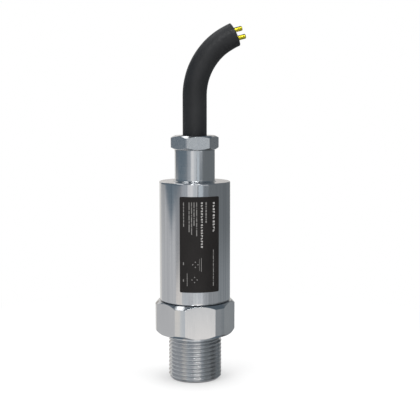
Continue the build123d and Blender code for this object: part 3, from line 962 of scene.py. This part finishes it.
# Gland nut: a threaded shank under a small hexagon
nut = {
    "passage": 4.8,
    "mouthChamfer": 0.5,
    "shank": 6.0,
    "shankBottom": 80.8,
    "shankChamfer": 0.4,
    "relief": 5.5,
    "reliefHeight": 0.8,
    "bottom": neck["top"],
    "top": 92.0,
    "flats": 8.0,
    "corners": 9.0,
    "chamferFrom": 7.6,
    "chamferRise": 0.808,
    "turn": 2,
    "steps": 144,
    "smooth": 15,
    "thread": {
        "pitch": 1.0,
        "root": 5.52,
        "start": 80.3,
        "turns": 6,
        "steps": 72,
    },
}


def nutOutline():
    passage, shank, relief = nut["passage"], nut["shank"], nut["relief"]
    shankBottom, bottom, top = nut["shankBottom"], nut["bottom"], nut["top"]
    corners, chamferFrom, chamferRise = nut["corners"], nut["chamferFrom"], nut["chamferRise"]
    reliefFrom = bottom - nut["reliefHeight"]
    return [
        (passage, shankBottom),
        (shank - nut["shankChamfer"], shankBottom),
        (shank, shankBottom + nut["shankChamfer"]),
        (shank, reliefFrom),
        (relief, reliefFrom),
        (relief, bottom),
        (chamferFrom, bottom),
        (corners, bottom + chamferRise),
        (corners, top - chamferRise),
        (chamferFrom, top),
        (passage + nut["mouthChamfer"], top),
        (passage, top - nut["mouthChamfer"]),
    ]


glandNut = turnPiece("glandNut", nutOutline(), nut["steps"])
millHexagon(glandNut, nut["flats"], nut["shankBottom"], nut["top"], nut["turn"])
cutThread(glandNut, nut["shank"], nut["thread"])
smoothTo(glandNut, nut["smooth"])
dress(glandNut, "turnedSteel", "stainless_turned", "nut", "gland_nut")
finishFlats(glandNut, "satinFlats", nut["flats"])
print("stage: gland nut")


# Floor: it takes the soft shadow near the object and turns into the white ground further out
ground = {
    "size": 6,
    "tone": 0.67,
    "fade": (0.035, 0.16),  # distances from the middle
    "glow": (0.4, 1.0),  # share of plain white at these distances, as the camera sees it
}


def groundFinish():
    finish = bpy.data.materials.new("floorWhite")
    finish.use_nodes = True
    tree = finish.node_tree
    tree.nodes.clear()
    tone = (ground["tone"], ground["tone"], ground["tone"], 1)
    diffuse = addNode(tree, "ShaderNodeBsdfDiffuse", {"Color": tone}).outputs[0]
    glow = addNode(tree, "ShaderNodeEmission", {"Strength": 1}).outputs[0]
    place = addNode(tree, "ShaderNodeTexCoord").outputs["Object"]
    reach = addNode(tree, "ShaderNodeVectorMath", {0: place}, "LENGTH").outputs["Value"]
    fade = addRange(tree, reach, *ground["fade"], *ground["glow"])
    rays = addNode(tree, "ShaderNodeLightPath").outputs
    share = addMath(tree, "MULTIPLY", rays["Is Camera Ray"], fade)
    blend = addNode(tree, "ShaderNodeMixShader", {"Fac": share, 1: diffuse, 2: glow}).outputs[0]
    addNode(tree, "ShaderNodeOutputMaterial", {"Surface": blend})
    return finish


clearSelection()
bpy.ops.mesh.primitive_plane_add(size=ground["size"])
floor = bpy.context.object
floor.name = "studioFloor"
floor.visible_glossy = False
floor.data.materials.append(groundFinish())


# World: full white to the eye, in reflections and through glass, and dimmer as a light
worldLight = {"dim": 0.6, "full": 1.0}
world = bpy.data.worlds.new("studioWorld")
bpy.context.scene.world = world
world.use_nodes = True
worldTree = world.node_tree
rays = addNode(worldTree, "ShaderNodeLightPath").outputs
seenRays = addMath(worldTree, "MAXIMUM", rays["Is Camera Ray"], rays["Is Glossy Ray"])
clearRays = addMath(worldTree, "MAXIMUM", seenRays, rays["Is Transmission Ray"])
level = addRange(worldTree, clearRays, 0.0, 1.0, worldLight["dim"], worldLight["full"])
background = worldTree.nodes["Background"]
background.inputs["Color"].default_value = (1, 1, 1, 1)
worldTree.links.new(level, background.inputs["Strength"])


# Cards stand round the object and are seen only in its reflections. Each one starts where the last
# ends, and "to" is in degrees from the camera's side, left negative. A card's tint changes with height.
# A wedge lifts its heights on both sides of an angle, by so many metres a degree.
cameraAzimuth = -8
cardStand = {"away": 0.5, "low": -0.5, "high": 0.42, "first": -180, "facets": 720}
cards = [
    {
        "name": "backLeft",
        "to": -140,
        "tints": [
            (0.060, (0.84, 0.82, 0.79)),
            (0.068, (0.24, 0.20, 0.17)),
            (0.108, (0.24, 0.20, 0.17)),
            (0.118, (0.84, 0.82, 0.80)),
        ],
    },
    {
        "name": "sideLeft",
        "to": -112,
        "tints": [
            (-0.03, (0.60, 0.60, 0.61)),
            (0.03, (0.50, 0.50, 0.50)),
            (0.045, (0.14, 0.17, 0.20)),
        ],
    },
    {
        "name": "darkLeft",
        "to": -64,
        "tints": [
            (-0.014, (0.62, 0.62, 0.63)),
            (-0.002, (0.16, 0.205, 0.245)),
        ],
        "wedge": (-82, 0.0012),
    },
    {
        "name": "warmLeft",
        "to": -43,
        "tints": [
            (-0.090, (0.92, 0.87, 0.82)),
            (-0.075, (0.42, 0.42, 0.43)),
            (-0.014, (0.38, 0.39, 0.41)),
            (-0.002, (0.16, 0.205, 0.245)),
        ],
        "wedge": (-82, 0.0012),
    },
    {
        "name": "duskLeft",
        "to": -36,
        "tints": [
            (-0.075, (0.78, 0.79, 0.80)),
            (-0.060, (0.56, 0.58, 0.60)),
            (-0.010, (0.48, 0.50, 0.53)),
            (0.034, (0.48, 0.50, 0.53)),
            (0.040, (0.17, 0.205, 0.235)),
            (0.050, (0.17, 0.205, 0.235)),
            (0.056, (0.48, 0.50, 0.53)),
        ],
    },
    {
        "name": "midLeft",
        "to": -22,
        "tints": [
            (-0.075, (0.72, 0.74, 0.76)),
            (-0.060, (0.56, 0.58, 0.60)),
            (-0.010, (0.48, 0.50, 0.53)),
            (0.034, (0.48, 0.50, 0.53)),
            (0.040, (0.42, 0.45, 0.48)),
        ],
    },
    {
        "name": "frontLeft",
        "to": -6,
        "tints": [
            (-0.07, (0.60, 0.61, 0.63)),
            (-0.03, (0.92, 0.91, 0.91)),
        ],
    },
    {
        "name": "frontMiddle",
        "to": 8,
        "tints": [
            (-0.092, (1.12, 1.09, 1.06)),
            (-0.072, (0.66, 0.69, 0.71)),
            (0.03, (0.72, 0.74, 0.76)),
        ],
    },
    {
        "name": "frontLine",
        "to": 11,
        "tints": [
            (-0.092, (1.08, 1.05, 1.03)),
            (-0.072, (0.60, 0.63, 0.66)),
            (-0.045, (0.60, 0.63, 0.66)),
            (-0.04, (0.12, 0.13, 0.14)),
            (0.05, (0.12, 0.13, 0.14)),
            (0.058, (0.66, 0.69, 0.72)),
        ],
    },
    {
        "name": "frontRight",
        "to": 26,
        "tints": [
            (-0.092, (1.14, 1.09, 1.05)),
            (-0.072, (0.62, 0.65, 0.69)),
            (0.030, (0.62, 0.67, 0.71)),
            (0.040, (0.66, 0.75, 0.82)),
            (0.050, (0.66, 0.75, 0.82)),
            (0.058, (0.60, 0.62, 0.64)),
        ],
    },
    {
        "name": "midRight",
        "to": 44,
        "tints": [
            (-0.110, (0.46, 0.48, 0.50)),
            (-0.066, (0.50, 0.51, 0.53)),
            (-0.030, (0.27, 0.29, 0.31)),
            (0.032, (0.24, 0.265, 0.29)),
            (0.038, (0.17, 0.19, 0.205)),
            (0.050, (0.17, 0.19, 0.205)),
            (0.058, (0.60, 0.62, 0.64)),
        ],
    },
    {
        "name": "darkRight",
        "to": 80,
        "tints": [
            (-0.135, (0.28, 0.29, 0.295)),
            (-0.115, (0.33, 0.35, 0.365)),
            (-0.066, (0.38, 0.39, 0.405)),
            (-0.030, (0.24, 0.26, 0.27)),
            (-0.010, (0.185, 0.20, 0.21)),
        ],
    },
    {
        "name": "edgeRight",
        "to": 160,
        "tints": [
            (-0.128, (0.13, 0.13, 0.13)),
            (-0.110, (0.33, 0.35, 0.365)),
            (-0.050, (0.28, 0.30, 0.315)),
            (-0.010, (0.185, 0.20, 0.21)),
        ],
    },
    {
        "name": "backRight",
        "to": 180,
        "tints": [
            (0.0, (0.33, 0.35, 0.365)),
            (0.03, (0.62, 0.60, 0.58)),
        ],
    },
]


def turnedFromCamera(place):
    turned = degrees(atan2(place[0], -place[1])) - cameraAzimuth
    return (turned + 180) % 360 - 180


def addGlow(piece):
    # a material that only gives light, named as the piece is
    glow = bpy.data.materials.new(piece.name)
    glow.use_nodes = True
    tree = glow.node_tree
    tree.nodes.clear()
    light = addNode(tree, "ShaderNodeEmission")
    addNode(tree, "ShaderNodeOutputMaterial", {"Surface": light.outputs[0]})
    piece.data.materials.append(glow)
    return tree, light


def seenInReflections(piece):
    piece.visible_camera = False
    piece.visible_diffuse = False
    piece.visible_transmission = False
    piece.visible_shadow = False


def addHeight(tree, wedge):
    # the height on a card, less what its wedge lifts
    place = addNode(tree, "ShaderNodeTexCoord").outputs["Object"]
    along = addNode(tree, "ShaderNodeSeparateXYZ", {"Vector": place}).outputs
    if wedge is None:
        return along["Z"]
    apex, lift = wedge
    towards = addMath(tree, "MULTIPLY", along["Y"], -1)
    turn = addMath(tree, "ARCTAN2", along["X"], towards)
    aside = addMath(tree, "SUBTRACT", turn, radians(apex + cameraAzimuth))
    apart = addMath(tree, "ABSOLUTE", aside)
    lifted = addMath(tree, "MULTIPLY", apart, lift / radians(1))
    return addMath(tree, "SUBTRACT", along["Z"], lifted)


def standCard(card, start):
    # a strip of a tall cylinder, from the start angle to the card's end
    low, high = cardStand["low"], cardStand["high"]
    clearSelection()
    bpy.ops.mesh.primitive_cylinder_add(
        vertices=cardStand["facets"],
        radius=cardStand["away"],
        depth=high - low,
        end_fill_type="NOTHING",
        location=(0, 0, (low + high) / 2),
    )
    strip = bpy.context.object
    strip.name = card["name"]
    selectWhere(strip, "FACE", lambda face: not start <= turnedFromCamera(face.center) <= card["to"])
    bpy.ops.mesh.delete(type="FACE")
    bpy.ops.object.mode_set(mode="OBJECT")
    settle(strip)
    tree, light = addGlow(strip)
    share = addRange(tree, addHeight(tree, card.get("wedge")), low, high)
    tints = [((height - low) / (high - low), tint) for height, tint in card["tints"]]
    tree.links.new(addRamp(tree, share, tints), light.inputs["Color"])
    seenInReflections(strip)


start = cardStand["first"]
for card in cards:
    standCard(card, start)
    start = card["to"]


# Level panels above, below and under the stud's end, seen in reflections too
panels = [
    {"name": "ceiling", "place": (0, 0, cardStand["high"]), "size": (1, 1), "tint": (0.11, 0.135, 0.16)},
    {"name": "underside", "place": (0, 0, cardStand["low"]), "size": (1, 1), "tint": (0.13, 0.165, 0.20)},
    # painted shade: this grey panel stands in for the floor's shadow round the stud, as the stud's end
    # chamfer and lowest flanks reflect it
    {"name": "floorShadePanel", "place": (0, 0, -0.0005), "size": (0.019, 0.019), "tint": (0.30, 0.30, 0.305)},
    {"name": "glintLeft", "place": (-0.09, -0.29, 0.415), "size": (0.08, 0.08), "tint": (15, 15, 15)},
    {"name": "glintRight", "place": (0.04, -0.30, 0.415), "size": (0.08, 0.08), "tint": (15, 15, 15)},
    {
        "name": "ceilingLight",
        "place": (-0.135, 0.11, 0.415),
        "size": (0.11, 0.36),
        "turn": -28,
        "tint": (2, 2, 2),
    },
]


def hangPanel(panel):
    clearSelection()
    turn = radians(panel.get("turn", 0))
    bpy.ops.mesh.primitive_plane_add(size=1, location=panel["place"], rotation=(0, 0, turn))
    sheet = bpy.context.object
    sheet.name = panel["name"]
    sheet.scale = (*panel["size"], 1)
    settle(sheet)
    light = addGlow(sheet)[1]
    light.inputs["Color"].default_value = (*panel["tint"], 1)
    seenInReflections(sheet)


for panel in panels:
    hangPanel(panel)


# Lamps give the diffuse light and the floor's shadow, and don't show in reflections
lamps = [
    {"name": "overhead", "place": (0, 0.03, 1.0), "aim": (0, 0, 0), "size": 1.1, "power": 12},
    {"name": "leftSoft", "place": (-0.9, -0.7, 0.7), "aim": (0, 0, 0.06), "size": 0.8, "power": 7},
    {"name": "rightSoft", "place": (0.9, -0.5, 0.6), "aim": (0, 0, 0.06), "size": 0.8, "power": 4},
]
for lamp in lamps:
    clearSelection()
    bpy.ops.object.light_add(type="AREA", location=lamp["place"])
    light = bpy.context.object
    light.name = lamp["name"]
    light.data.shape = "DISK"
    light.data.size = lamp["size"]
    light.data.energy = lamp["power"]
    light.visible_glossy = False
    reach = Vector(lamp["aim"]) - Vector(lamp["place"])
    light.rotation_euler = reach.to_track_quat("-Z", "Y").to_euler()
print("stage: studio")
